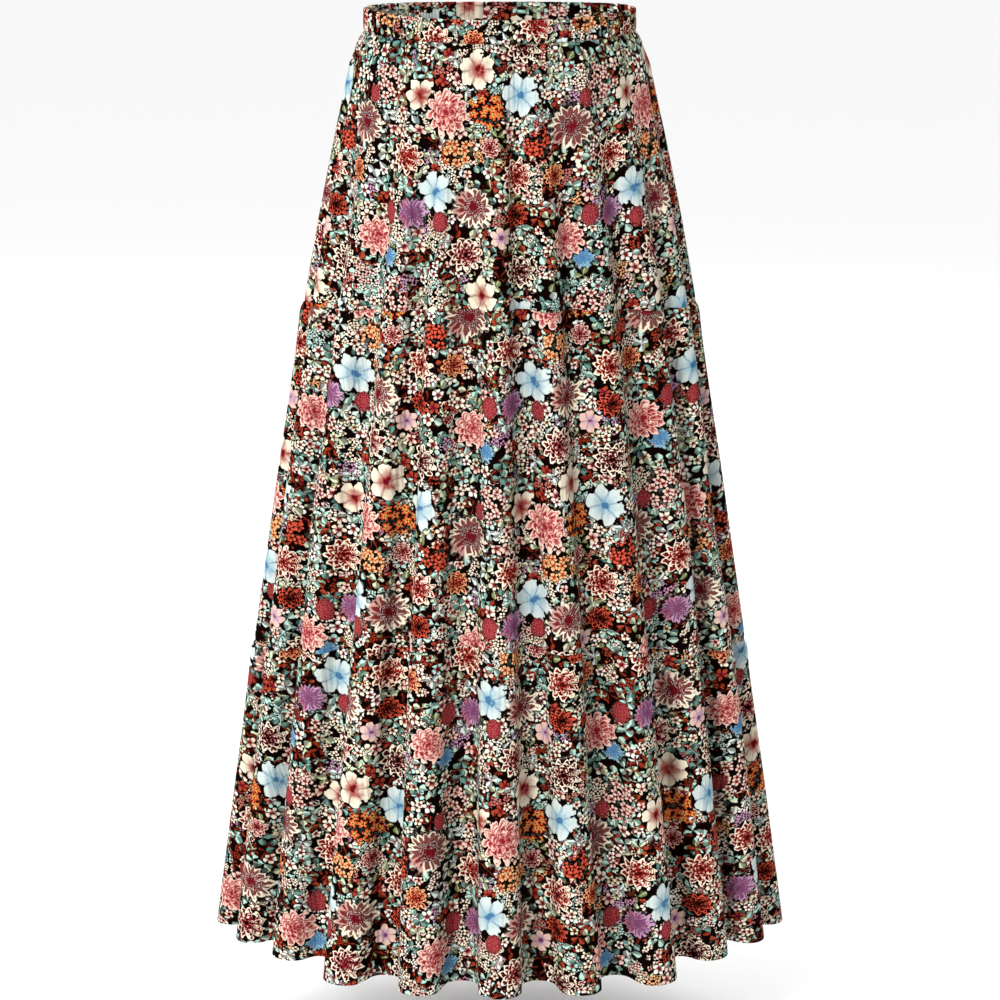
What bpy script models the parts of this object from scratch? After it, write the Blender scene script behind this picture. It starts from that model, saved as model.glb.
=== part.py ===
"""Tiered maxi skirt with an elasticated waistband, standing in its worn, hollow form.

The cloth is a set of thin walls. Every wall is read from one surface, skirt_point(share, drop):
  share  where round the skirt, 0 at the centre front, 0.25 at its left side (+X), 0.5 at the centre back
  drop   how far below the waistband's top edge, measured at the side seams, in metres
Front is -Y and up is +Z. The origin is in the middle of the waist opening, at half the waistband's height.
"""

import math
from collections import namedtuple

import bmesh
import bpy

# Sizes that drive the skirt, in metres.
BAND_HEIGHT = 0.022
SEAM_GAP = 0.0003
BAND_WALL = 0.0030
CLOTH_WALL = 0.0016
DEPTH_RATIO = 0.727

# Folds run from the waist to the hem, a crest at the centre front and at each side seam.
# A fold reaches its full depth FOLD_FADE_IN below its start. CREST_WIDENING makes crests wider than hollows.
FOLD_FADE_IN = 0.26
CREST_WIDENING = 0.16

# Gathers are the small ripples where cloth is drawn up onto a shorter edge.
GATHER_COUNT = 50
GATHER_DEPTH = 0.0011
GATHER_REACH = 0.030
SEAM_PUFF = 0.0020
PUFF_REACH = 0.012

# Columns of points in half the skirt's round: ten to a fold, and four to a gather.
HALF_COLUMNS = 100

# The printed cloth's mean colour, seen from a few steps away.
CLOTH_COLOUR = (0.33, 0.26, 0.22)
CLOTH_ROUGHNESS = 0.8

# One row for each level where the outline turns. half_width reaches the crest at the side.
# fold_depth is crest to hollow, and steepness stands a fold's flanks up, 0.5 being upright.
Section = namedtuple("Section", "drop half_width fold_depth steepness")
SECTIONS = (
    Section(0.000, 0.1280, 0.0000, 0.00),
    Section(0.022, 0.1292, 0.0020, 0.00),
    Section(0.053, 0.1433, 0.0055, 0.05),
    Section(0.113, 0.1566, 0.0095, 0.10),
    Section(0.203, 0.1751, 0.0140, 0.15),
    Section(0.293, 0.1916, 0.0190, 0.20),
    Section(0.443, 0.2159, 0.0250, 0.28),
    Section(0.627, 0.2438, 0.0320, 0.36),
    Section(0.780, 0.2662, 0.0390, 0.42),
    Section(0.915, 0.2853, 0.0460, 0.46),
)

# An edge lies at side_drop at the side seams, and so much higher at the centre front and centre back.
Edge = namedtuple("Edge", "side_drop front_rise back_rise")
WAIST_TOP = Edge(0.0, -0.0035, -0.0035)
BAND_SEAM = Edge(BAND_HEIGHT, -0.0035, -0.0035)
UPPER_SEAM = Edge(0.282, 0.0135, 0.008)
LOWER_SEAM = Edge(0.621, 0.034, 0.018)
HEM = Edge(0.915, -0.003, 0.0)

# One row for each fold, from the centre front round by the left side. shift is how far its crest lies
# along the hem, and lean how much further along at the waist, both as a share of a fold's width.
# depth scales the fold, and reach is how far its crest stands out at the hem past the rest, in metres.
# start is the drop where the fold begins to grow, which is above the waist for most.
Fold = namedtuple("Fold", "shift lean depth reach start")
FOLDS = (
    Fold(0.00, -0.05, 1.06, 0.000, -0.09),
    Fold(0.07, -0.22, 0.96, 0.002, -0.06),
    Fold(0.13, -0.18, 0.94, 0.002, -0.09),
    Fold(0.33, -0.14, 0.98, -0.020, 0.01),
    Fold(0.22, -0.08, 0.98, -0.012, -0.05),
    Fold(0.00, -0.08, 0.98, 0.000, -0.09),
    Fold(-0.05, 0.12, 0.92, -0.008, -0.01),
    Fold(0.04, -0.10, 1.06, -0.012, -0.07),
    Fold(-0.06, 0.15, 0.90, -0.002, 0.03),
    Fold(0.05, -0.16, 1.04, 0.003, -0.09),
    Fold(-0.02, 0.08, 0.96, -0.002, -0.03),
    Fold(0.06, -0.12, 1.05, 0.000, -0.08),
    Fold(-0.05, 0.18, 0.88, -0.004, 0.02),
    Fold(0.02, -0.06, 1.03, -0.014, -0.06),
    Fold(0.05, -0.10, 0.94, -0.006, -0.09),
    Fold(0.00, 0.07, 1.00, 0.000, -0.09),
    Fold(-0.21, 0.06, 0.98, -0.012, -0.04),
    Fold(-0.33, 0.18, 0.98, -0.020, 0.03),
    Fold(-0.13, 0.14, 0.94, 0.002, -0.07),
    Fold(-0.07, -0.20, 0.98, 0.002, -0.05),
)
FOLD_COUNT = len(FOLDS)

# One row for each ring of cloth. levels are shares of the way from its top edge to its bottom one, and
# gathers_fade says whether its gathers die away below the top edge or run on to the bottom one.
Ring = namedtuple("Ring", "name top bottom levels wall gathers_fade")
RINGS = (
    Ring("waistband", WAIST_TOP, BAND_SEAM, (0, 0.5, 1), BAND_WALL, False),
    Ring("upper_tier", BAND_SEAM, UPPER_SEAM, (0, 0.06, 0.2, 0.5, 1), CLOTH_WALL, True),
    Ring("middle_tier", UPPER_SEAM, LOWER_SEAM, (0, 0.06, 0.3, 1), CLOTH_WALL, True),
    Ring("lower_tier", LOWER_SEAM, HEM, (0, 0.07, 0.3, 0.65, 1), CLOTH_WALL, True),
)
# Each ring is cut as a front and a back, each from one side seam to the other.
HALVES = (("front", -0.25), ("back", 0.25))

# A step round the skirt that is small enough to read the surface's direction from.
NUDGE = 1e-4


def blend(low, high, share):
    return low + (high - low) * share


def smooth(share):
    share = min(max(share, 0.0), 1.0)
    return share * share * (3 - 2 * share)


def section_at(drop):
    """The half width, fold depth and steepness at a drop, straight between the rows of SECTIONS."""
    for upper, lower in zip(SECTIONS, SECTIONS[1:]):
        if drop <= lower.drop:
            break
    share = (drop - upper.drop) / (lower.drop - upper.drop)
    return [blend(a, b, share) for a, b in zip(upper[1:], lower[1:])]


def equal_arc_angles(count=720):
    """Angles round an ellipse, DEPTH_RATIO deep for 1 wide, that cut it into arcs of equal length."""
    steps = 8 * count
    lengths = [0.0]
    for i in range(steps):
        angle = math.tau * (i + 0.5) / steps
        lengths.append(lengths[-1] + math.hypot(math.cos(angle), DEPTH_RATIO * math.sin(angle)))
    angles = []
    step = 0
    for i in range(count + 1):
        wanted = lengths[-1] * i / count
        while step < steps - 1 and lengths[step + 1] < wanted:
            step += 1
        part = (wanted - lengths[step]) / (lengths[step + 1] - lengths[step])
        angles.append(math.tau * (step + part) / steps)
    return angles


ANGLES = equal_arc_angles()


def angle_at(share):
    """The ellipse's angle at a share of the way round it, 0 at the centre front."""
    turns = math.floor(share)
    place = (share - turns) * (len(ANGLES) - 1)
    index = min(int(place), len(ANGLES) - 2)
    return math.tau * turns + blend(ANGLES[index], ANGLES[index + 1], place - index)


def edge_drop(edge, share):
    """How far below the waist an edge lies, at a share of the way round."""
    forward = math.cos(angle_at(share))
    rise = edge.front_rise if forward > 0 else edge.back_rise
    return edge.side_drop - rise * forward**2


def fold_at(share, drop):
    """A point's place on its fold: the phase, 0 on a crest and pi in a hollow, its depth and its reach."""
    up = 1 - drop / HEM.side_drop
    crests = [k + fold.shift + fold.lean * up for k, fold in enumerate(FOLDS)]
    place = (share * FOLD_COUNT - crests[0]) % FOLD_COUNT + crests[0]
    index = sum(crest <= place for crest in crests[1:])
    here, following = FOLDS[index], FOLDS[(index + 1) % FOLD_COUNT]
    end = (crests + [crests[0] + FOLD_COUNT])[index + 1]
    across = (place - crests[index]) / (end - crests[index])

    def depth(fold):
        return fold.depth * smooth((drop - fold.start) / FOLD_FADE_IN)

    def reach(fold):
        return fold.reach * (drop / HEM.side_drop) ** 2

    side = smooth(across)
    depth_here = blend(depth(here), depth(following), side)
    reach_here = blend(reach(here), reach(following), side)
    return math.tau * across, depth_here, reach_here


def gather_at(share, below_seam):
    """How far a gather lifts the cloth, below_seam metres under the edge that it is drawn up on."""
    ripple = math.cos(math.tau * GATHER_COUNT * share)
    puff = SEAM_PUFF * math.sin(math.pi * min(below_seam / PUFF_REACH, 1.0) / 2)
    return (GATHER_DEPTH * ripple + puff) * math.exp(-below_seam / GATHER_REACH)


def skirt_point(share, drop, lift):
    """The outer face of the cloth in plan, (x, y), lift metres outside its folds."""
    half_width, fold_depth, steepness = section_at(drop)
    phase, scale, reach = fold_at(share, drop)
    across = half_width - fold_depth / 2
    deep = DEPTH_RATIO * half_width - fold_depth / 2
    pitch = 2 * math.pi * math.sqrt((across**2 + deep**2) / 2) / FOLD_COUNT
    out = fold_depth / 2 * scale * math.cos(phase) + reach + lift
    sway = steepness * math.sin(2 * phase) + 2 * CREST_WIDENING * steepness * math.sin(phase)
    along = scale * sway * pitch / math.tau
    angle = angle_at(share)
    tangent = (across * math.cos(angle), deep * math.sin(angle))
    size = math.hypot(*tangent)
    tangent = (tangent[0] / size, tangent[1] / size)
    normal = (tangent[1], -tangent[0])
    x = across * math.sin(angle) + out * normal[0] + along * tangent[0]
    y = -deep * math.cos(angle) + out * normal[1] + along * tangent[1]
    return x, y


def run_at(share, drop, below_seam):
    """How the outer face runs on in plan, as (x, y) for one whole share of the way round."""
    before = skirt_point(share - NUDGE, drop, gather_at(share - NUDGE, below_seam))
    after = skirt_point(share + NUDGE, drop, gather_at(share + NUDGE, below_seam))
    return (after[0] - before[0]) / (2 * NUDGE), (after[1] - before[1]) / (2 * NUDGE)


def wall_points(ring, share, level, inset):
    """The outer and inner point of a ring's wall, inset metres round from a share, at one of its levels."""
    top = edge_drop(ring.top, share)
    bottom = edge_drop(ring.bottom, share)
    if ring.top is not WAIST_TOP:
        top += SEAM_GAP / 2
    if ring.bottom is not HEM:
        bottom -= SEAM_GAP / 2
    drop = blend(top, bottom, level)
    below_seam = drop - top if ring.gathers_fade else 0.0
    share += inset / math.hypot(*run_at(share, drop, below_seam))
    run = run_at(share, drop, below_seam)
    inward = ring.wall / math.hypot(*run)
    x, y = skirt_point(share, drop, gather_at(share, below_seam))
    z = BAND_HEIGHT / 2 - drop
    return (x, y, z), (x - run[1] * inward, y + run[0] * inward, z)


def wall_slice(mesh, ring, share, inset):
    """The points round a cut through the wall: down its outer face, then up its inner one."""
    outer, inner = zip(*(wall_points(ring, share, level, inset) for level in ring.levels))
    return [mesh.verts.new(point) for point in (*outer, *reversed(inner))]


def cloth_material(name):
    material = bpy.data.materials.new(name)
    material.use_nodes = True
    surface = material.node_tree.nodes["Principled BSDF"]
    surface.inputs["Base Color"].default_value = (*CLOTH_COLOUR, 1.0)
    surface.inputs["Roughness"].default_value = CLOTH_ROUGHNESS
    surface.inputs["Metallic"].default_value = 0.0
    return material


def half_ring(ring, half, start):
    """One cut piece: a closed wall half way round the skirt, just clear of the pieces it is sewn to."""
    mesh = bmesh.new()
    slices = []
    for column in range(HALF_COLUMNS + 1):
        share = start + 0.5 * column / HALF_COLUMNS
        inset = {0: SEAM_GAP / 2, HALF_COLUMNS: -SEAM_GAP / 2}.get(column, 0.0)
        slices.append(wall_slice(mesh, ring, share, inset))
    for here, following in zip(slices, slices[1:]):
        for i in range(len(here)):
            mesh.faces.new((here[i - 1], here[i], following[i], following[i - 1]))
    for end in (slices[0], slices[-1]):
        for row in range(len(ring.levels) - 1):
            mesh.faces.new((end[row], end[row + 1], end[-2 - row], end[-1 - row]))
    bmesh.ops.recalc_face_normals(mesh, faces=mesh.faces)
    name = f"{ring.name}_{half}"
    data = bpy.data.meshes.new(name)
    mesh.to_mesh(data)
    mesh.free()
    data.shade_smooth()
    data.set_sharp_from_angle(angle=math.radians(60))
    data.materials.append(cloth_material(f"{name}_cloth"))
    piece = bpy.data.objects.new(name, data)
    bpy.context.scene.collection.objects.link(piece)
    return piece


def main():
    for old in list(bpy.data.objects):
        bpy.data.objects.remove(old)
    skirt = bpy.data.objects.new("skirt", None)
    bpy.context.scene.collection.objects.link(skirt)
    for ring in RINGS:
        for half, start in HALVES:
            half_ring(ring, half, start).parent = skirt


main()
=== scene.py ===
# %% [markdown]
# # A tiered maxi skirt in flowered cloth
# This notebook dresses a long, full skirt: an elasticated waistband and three tiers of light cloth,
# printed all over with flowers on near-black. It stands hollow, as if somebody wore it.
# The frame that we load holds the skirt's eight cut pieces as plain walls. We read their names and
# sizes from it, build a finer shell of cloth for each one, and then print, crinkle and sew them.

# %% Load the frame
import math
from collections import namedtuple

import bpy
import numpy as np
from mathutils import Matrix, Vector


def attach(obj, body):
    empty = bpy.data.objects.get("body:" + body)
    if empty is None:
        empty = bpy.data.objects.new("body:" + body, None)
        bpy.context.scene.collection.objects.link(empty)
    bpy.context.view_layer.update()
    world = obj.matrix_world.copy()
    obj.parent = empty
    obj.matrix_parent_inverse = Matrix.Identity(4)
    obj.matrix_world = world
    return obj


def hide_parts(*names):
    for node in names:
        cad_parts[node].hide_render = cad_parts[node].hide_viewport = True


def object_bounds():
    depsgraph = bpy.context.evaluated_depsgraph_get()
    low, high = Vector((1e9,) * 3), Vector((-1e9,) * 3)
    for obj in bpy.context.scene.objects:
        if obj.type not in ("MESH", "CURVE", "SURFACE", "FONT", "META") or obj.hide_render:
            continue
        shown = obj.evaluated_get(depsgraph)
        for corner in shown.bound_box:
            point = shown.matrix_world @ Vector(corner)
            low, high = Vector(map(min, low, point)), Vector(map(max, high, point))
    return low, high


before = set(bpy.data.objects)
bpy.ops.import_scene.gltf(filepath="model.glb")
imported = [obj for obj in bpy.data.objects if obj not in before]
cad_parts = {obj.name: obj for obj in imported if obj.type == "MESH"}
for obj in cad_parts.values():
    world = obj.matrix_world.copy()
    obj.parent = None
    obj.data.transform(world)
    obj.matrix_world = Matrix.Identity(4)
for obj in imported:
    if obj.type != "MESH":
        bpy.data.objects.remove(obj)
cad_box = [list(corner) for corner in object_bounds()]
print("cut pieces in the frame:", sorted(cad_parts))
print("lowest and highest corner, in metres:", cad_box)

# %% [markdown]
# ## The camera
# A skirt could be shown from close by with a short lens, but its hem would swell and its waist shrink. A
# long lens from a few metres away keeps the outline nearly parallel, as in shop pictures. We look
# slightly down, so the front of the waist dips and the inside of its back shows. The camera is made
# first, because every later choice is judged through it.

# %% Camera
CAMERA_PLACE = (0.0, -3.313, 0.330)
LOOK_DOWN = 13.56
SENSOR_WIDTH = 36.0
LENS_PER_WIDTH = 3.481

scene = bpy.context.scene
camera_data = bpy.data.cameras.new("camera")
camera_data.sensor_width = SENSOR_WIDTH
camera_data.lens = LENS_PER_WIDTH * SENSOR_WIDTH
camera = bpy.data.objects.new("camera", camera_data)
camera.location = CAMERA_PLACE
camera.rotation_euler = (math.radians(90 - LOOK_DOWN), 0.0, 0.0)
scene.collection.objects.link(camera)
scene.camera = camera
scene.view_settings.view_transform = "Standard"
print(f"lens {camera_data.lens:.1f} mm, {-CAMERA_PLACE[1]:.2f} m in front of the waist")

# %% [markdown]
# ## Floor and room
# The skirt hangs from its waist, so the floor lies a hand's breadth below the hem. A photographer would
# unroll a sweep of pale paper. Ours is one flat pale sheet, so large that its edges are never seen, in a
# room of even white light. The floor and the flags further on are made alike, by two small helpers.

# %% Floor and room
FLOOR_BELOW_HEM = 0.11
FLOOR_SIZE = 60.0
FLOOR_PAINT = {"Base Color": (0.93, 0.93, 0.93, 1.0), "Roughness": 0.9}
ROOM_COLOUR = (1.0, 1.0, 1.0, 1.0)
ROOM_LIGHT = 1.0


def plain_paint(name, settings):
    """A material that is the same all over."""
    paint = bpy.data.materials.new(name)
    paint.use_nodes = True
    sockets = paint.node_tree.nodes["Principled BSDF"].inputs
    for socket, value in settings.items():
        sockets[socket].default_value = value
    return paint


def flat_sheet(name, place, angles, size, paint):
    bpy.ops.mesh.primitive_plane_add(size=1.0, location=place, rotation=angles)
    sheet = bpy.context.object
    sheet.name = name
    sheet.scale = (*size, 1.0)
    sheet.data.materials.append(paint)
    return sheet


floor_z = cad_box[0][2] - FLOOR_BELOW_HEM
floor_paint = plain_paint("pale_floor", FLOOR_PAINT)
floor = flat_sheet("floor", (0.0, 0.0, floor_z), (0.0, 0.0, 0.0), (FLOOR_SIZE, FLOOR_SIZE), floor_paint)

world = bpy.data.worlds.new("pale_room")
world.use_nodes = True
room = world.node_tree.nodes["Background"].inputs
room["Color"].default_value = ROOM_COLOUR
room["Strength"].default_value = ROOM_LIGHT
scene.world = world
print(f"floor at {floor_z:.3f} m")

# %% [markdown]
# ## Lamps and flags
# A dark print needs plenty of light to show its colours. One small hard lamp would give enough, but it
# would cut the soft folds up with hard shadows, so every lamp is a wide panel. The strongest stands in
# front on the left: each fold is light on its left and darker on its right. White surroundings would
# fill the dark sides again. Photographers hang black cards, called flags, in front and on the right
# to keep that fill out. Ours are hidden from the camera, as if they were out of the picture.

# %% Lamps
Panel = namedtuple("Panel", "name place aim_z wide high watts")
PANELS = (
    Panel("key_panel", (-1.5, -3.2, 1.0), -0.4, 1.0, 2.0, 124),
    Panel("right_panel", (2.4, -2.6, 0.4), -0.5, 1.2, 2.0, 32),
    Panel("back_panel", (0.4, 3.2, 1.6), -0.4, 2.0, 2.0, 20),
    Panel("floor_panel", (0.5, 1.4, 1.5), -1.0, 1.6, 1.6, 30),
)

for panel in PANELS:
    lamp = bpy.data.lights.new(panel.name, "AREA")
    lamp.shape = "RECTANGLE"
    lamp.size = panel.wide
    lamp.size_y = panel.high
    lamp.energy = panel.watts
    holder = bpy.data.objects.new(panel.name, lamp)
    holder.location = panel.place
    sight = holder.location.copy()
    sight.z -= panel.aim_z
    holder.rotation_euler = sight.to_track_quat("Z", "Y").to_euler()
    scene.collection.objects.link(holder)
print(len(PANELS), "lamps with", sum(panel.watts for panel in PANELS), "watts of light between them")

# %% Flags
# Place, tilt from level, turn about the upright, width and height.
FLAGS = (
    ((1.9, -0.7, 0.1), 90, 90, 1.8, 2.0),
    ((0.5, -2.1, 0.0), 90, 0, 2.1, 2.6),
    ((0.3, -1.1, 1.3), 0, 0, 2.4, 2.0),
)
FLAG_PAINT = {"Base Color": (0.01, 0.01, 0.01, 1.0), "Specular IOR Level": 0.0}

flag_paint = plain_paint("flag_black", FLAG_PAINT)
for number, (place, tilt, turn, wide, high) in enumerate(FLAGS):
    angles = (math.radians(tilt), 0.0, math.radians(turn))
    flag = flat_sheet(f"flag_{number}", place, angles, (wide, high), flag_paint)
    flag.visible_camera = False
card = sum(wide * high for *_, wide, high in FLAGS)
print(f"{len(FLAGS)} flags, {card:.1f} square metres of black card")

# %% [markdown]
# ## The skirt's form
# A full skirt hangs in folds that begin at the waist and deepen to the hem. A cloth simulation could drape
# them, but then they fall where they like, so we write them down as one surface instead. `share` says how
# far round we are (0 at the centre front, 0.25 at the side), and `drop` how far below the waist. An oval
# gives the plain cone, and a wave pushes it out at crests and in at hollows. The sizes are the same as
# the frame's, so the shells lie where the cut pieces are. Numpy works on whole grids of points at
# once, which keeps 200,000 points quick.

# %% Sizes of the form
BAND_HEIGHT = 0.022
DEPTH_RATIO = 0.727
FOLD_FADE_IN = 0.26
CREST_WIDENING = 0.16
# One row for each level where the outline turns: drop, half width and fold depth in metres, and how steep
# the folds' flanks are.
SECTIONS = np.array((
    (0.000, 0.1280, 0.0000, 0.00),
    (0.022, 0.1292, 0.0020, 0.00),
    (0.053, 0.1433, 0.0055, 0.05),
    (0.113, 0.1566, 0.0095, 0.10),
    (0.203, 0.1751, 0.0140, 0.15),
    (0.293, 0.1916, 0.0190, 0.20),
    (0.443, 0.2159, 0.0250, 0.28),
    (0.627, 0.2438, 0.0320, 0.36),
    (0.780, 0.2662, 0.0390, 0.42),
    (0.915, 0.2853, 0.0460, 0.46),
))
Edge = namedtuple("Edge", "side_drop front_rise back_rise")
WAIST_DIP = -0.0035
WAIST_TOP = Edge(0.0, WAIST_DIP, WAIST_DIP)
BAND_SEAM = Edge(BAND_HEIGHT, WAIST_DIP, WAIST_DIP)
UPPER_SEAM = Edge(0.282, 0.0135, 0.008)
LOWER_SEAM = Edge(0.621, 0.034, 0.018)
HEM = Edge(0.915, -0.003, 0.0)
# One row for each of the twenty folds, from the centre front round: its shift and its lean, in folds, its
# depth beside the usual, how far it stands out at the hem (m), and the drop at which it starts (m).
FOLDS = np.array((
    (0.00, -0.05, 1.06, 0.000, -0.09),
    (0.07, -0.22, 0.96, 0.002, -0.06),
    (0.13, -0.18, 0.94, 0.002, -0.09),
    (0.33, -0.14, 0.98, -0.020, 0.01),
    (0.22, -0.08, 0.98, -0.012, -0.05),
    (0.00, -0.08, 0.98, 0.000, -0.09),
    (-0.05, 0.12, 0.92, -0.008, -0.01),
    (0.04, -0.10, 1.06, -0.012, -0.07),
    (-0.06, 0.15, 0.90, -0.002, 0.03),
    (0.05, -0.16, 1.04, 0.003, -0.09),
    (-0.02, 0.08, 0.96, -0.002, -0.03),
    (0.06, -0.12, 1.05, 0.000, -0.08),
    (-0.05, 0.18, 0.88, -0.004, 0.02),
    (0.02, -0.06, 1.03, -0.014, -0.06),
    (0.05, -0.10, 0.94, -0.006, -0.09),
    (0.00, 0.07, 1.00, 0.000, -0.09),
    (-0.21, 0.06, 0.98, -0.012, -0.04),
    (-0.33, 0.18, 0.98, -0.020, 0.03),
    (-0.13, 0.14, 0.94, 0.002, -0.07),
    (-0.07, -0.20, 0.98, 0.002, -0.05),
))
FOLD_COUNT = len(FOLDS)
print(f"{FOLD_COUNT} folds, {len(SECTIONS)} levels")


# %% Round the oval
def equal_arc_angles(count=720):
    """Angles round the oval that cut it into arcs of equal length."""
    angles = np.linspace(0, math.tau, 8 * count + 1)
    middles = (angles[1:] + angles[:-1]) / 2
    arcs = np.hypot(np.cos(middles), DEPTH_RATIO * np.sin(middles))
    lengths = np.concatenate(([0.0], np.cumsum(arcs)))
    return np.interp(np.linspace(0, lengths[-1], count + 1), lengths, angles)


ANGLES = equal_arc_angles()


def angle_at(share):
    """The oval's angle where a share of its girth is behind us."""
    turns = np.floor(share)
    return math.tau * turns + np.interp(share - turns, np.linspace(0, 1, len(ANGLES)), ANGLES)


def edge_drop(edge, share):
    """How far below the waist an edge lies."""
    forward = np.cos(angle_at(share))
    rise = np.where(forward > 0, edge.front_rise, edge.back_rise)
    return edge.side_drop - rise * forward**2


waist_width = 2 * SECTIONS[0, 1]
print(f"waist {waist_width * 1000:.0f} mm wide and {waist_width * DEPTH_RATIO * 1000:.0f} mm deep")


# %% Levels
def smooth(share):
    """From 0 to 1 with a soft start and a soft end."""
    share = np.clip(share, 0.0, 1.0)
    return share * share * (3 - 2 * share)


def section_at(drop):
    """Half width, fold depth and steepness, straight between the rows of SECTIONS."""
    drops = SECTIONS[:, 0]
    row = np.clip(np.searchsorted(drops, drop) - 1, 0, len(drops) - 2)
    share = (drop - drops[row]) / (drops[row + 1] - drops[row])
    return [column[row] + (column[row + 1] - column[row]) * share for column in SECTIONS.T[1:]]


print(f"at the hem the folds are {section_at(np.array(HEM.side_drop))[1] * 1000:.0f} mm deep")


# %% Where a fold lies
def fold_at(share, drop):
    """The phase, 0 on a crest and pi in a hollow, the depth's scale, and how far the fold stands out."""
    shift, lean, depth, reach, start = FOLDS.T
    up = (1 - drop / HEM.side_drop)[..., None]
    crests = np.arange(FOLD_COUNT) + shift + lean * up
    first = crests[..., 0]
    place = (share * FOLD_COUNT - first) % FOLD_COUNT + first
    index = (crests[..., 1:] <= place[..., None]).sum(axis=-1)
    following = (index + 1) % FOLD_COUNT
    here = np.take_along_axis(crests, index[..., None], -1)[..., 0]
    end = np.take_along_axis(crests, following[..., None], -1)[..., 0] + FOLD_COUNT * (following == 0)
    across = (place - here) / (end - here)
    side = smooth(across)

    def between(column):
        return column(index) * (1 - side) + column(following) * side

    scale = between(lambda i: depth[i] * smooth((drop - start[i]) / FOLD_FADE_IN))
    out = between(lambda i: reach[i] * (drop / HEM.side_drop) ** 2)
    return math.tau * across, scale, out


scale = fold_at(np.zeros(2), np.array([0.0, 0.5]))[1]
print(f"the fold in front has {scale[0]:.0%} of its depth at the waist, and {scale[1]:.0%} 0.5 m down")


# %% The skirt in plan
def skirt_plan(share, drop, lift):
    """The cloth's outer face in plan as x and y, and the oval's tangent there."""
    half_width, fold_depth, steepness = section_at(drop)
    phase, scale, reach = fold_at(share, drop)
    across = half_width - fold_depth / 2
    deep = DEPTH_RATIO * half_width - fold_depth / 2
    pitch = math.tau * np.sqrt((across**2 + deep**2) / 2) / FOLD_COUNT
    out = fold_depth / 2 * scale * np.cos(phase) + reach + lift
    sway = steepness * np.sin(2 * phase) + 2 * CREST_WIDENING * steepness * np.sin(phase)
    along = scale * sway * pitch / math.tau
    angle = angle_at(share)
    tangent = np.stack((across * np.cos(angle), deep * np.sin(angle)))
    tangent = tangent / np.hypot(*tangent)
    x = across * np.sin(angle) + out * tangent[1] + along * tangent[0]
    y = -deep * np.cos(angle) - out * tangent[0] + along * tangent[1]
    return x, y, tangent


x, y, _ = skirt_plan(np.array([0.0, 0.25]), np.array([0.9, 0.9]), 0.0)
print(f"near the hem the skirt reaches {-y[0] * 1000:.0f} mm forward and {x[1] * 1000:.0f} mm sideways")

# %% [markdown]
# ## Gathers and creases
# Gathers are the small ripples where cloth is drawn up onto a shorter edge: strong just under the seam,
# gone a hand's breadth lower. Machine gathers are never even, so slow waves make their spacing, depth
# and length wander. Creases are the soft troughs and ridges that no rule gives. They could be sculpted,
# but a table keeps them in the script: one row for each, placed on front, sides and back.

# %% Gathers
GATHER_COUNT = 50
FINE_GATHERS = 2.7
FINE_SHARE = 0.35
GATHER_DEPTH = 0.0011
GATHER_REACH = 0.030
SEAM_PUFF = 0.0020
PUFF_REACH = 0.012
# Slow waves: how strong, how many to a round, and their start.
SPACING_WAVES = ((0.35, 7, 1.3), (0.24, 19, 0.4))
DEPTH_WAVES = ((0.3, 13, 2.0), (0.2, 31, 0.0))
REACH_WAVES = ((0.35, 11, 0.7),)


def wander(share, waves):
    return sum(strength * np.sin(math.tau * count * share + start) for strength, count, start in waves)


def gather_at(share, below_seam):
    """How far the gathers lift the cloth, below_seam metres under the edge that it is drawn up on."""
    shift = wander(share, SPACING_WAVES)
    ripple = (0.85 + wander(share, DEPTH_WAVES)) * np.cos(math.tau * (GATHER_COUNT * share + shift))
    fine = FINE_SHARE * np.cos(math.tau * (FINE_GATHERS * GATHER_COUNT * share - 2 * shift))
    puff = SEAM_PUFF * np.sin(math.pi / 2 * np.minimum(below_seam / PUFF_REACH, 1.0))
    reach = GATHER_REACH * (1 + wander(share, REACH_WAVES))
    return (GATHER_DEPTH * (ripple + fine) + puff) * np.exp(-below_seam / reach)


highest = gather_at(np.linspace(0, 1, 5000), np.zeros(5000)).max()
print(f"{GATHER_COUNT} gathers, up to {highest * 1000:.1f} mm high")

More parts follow.
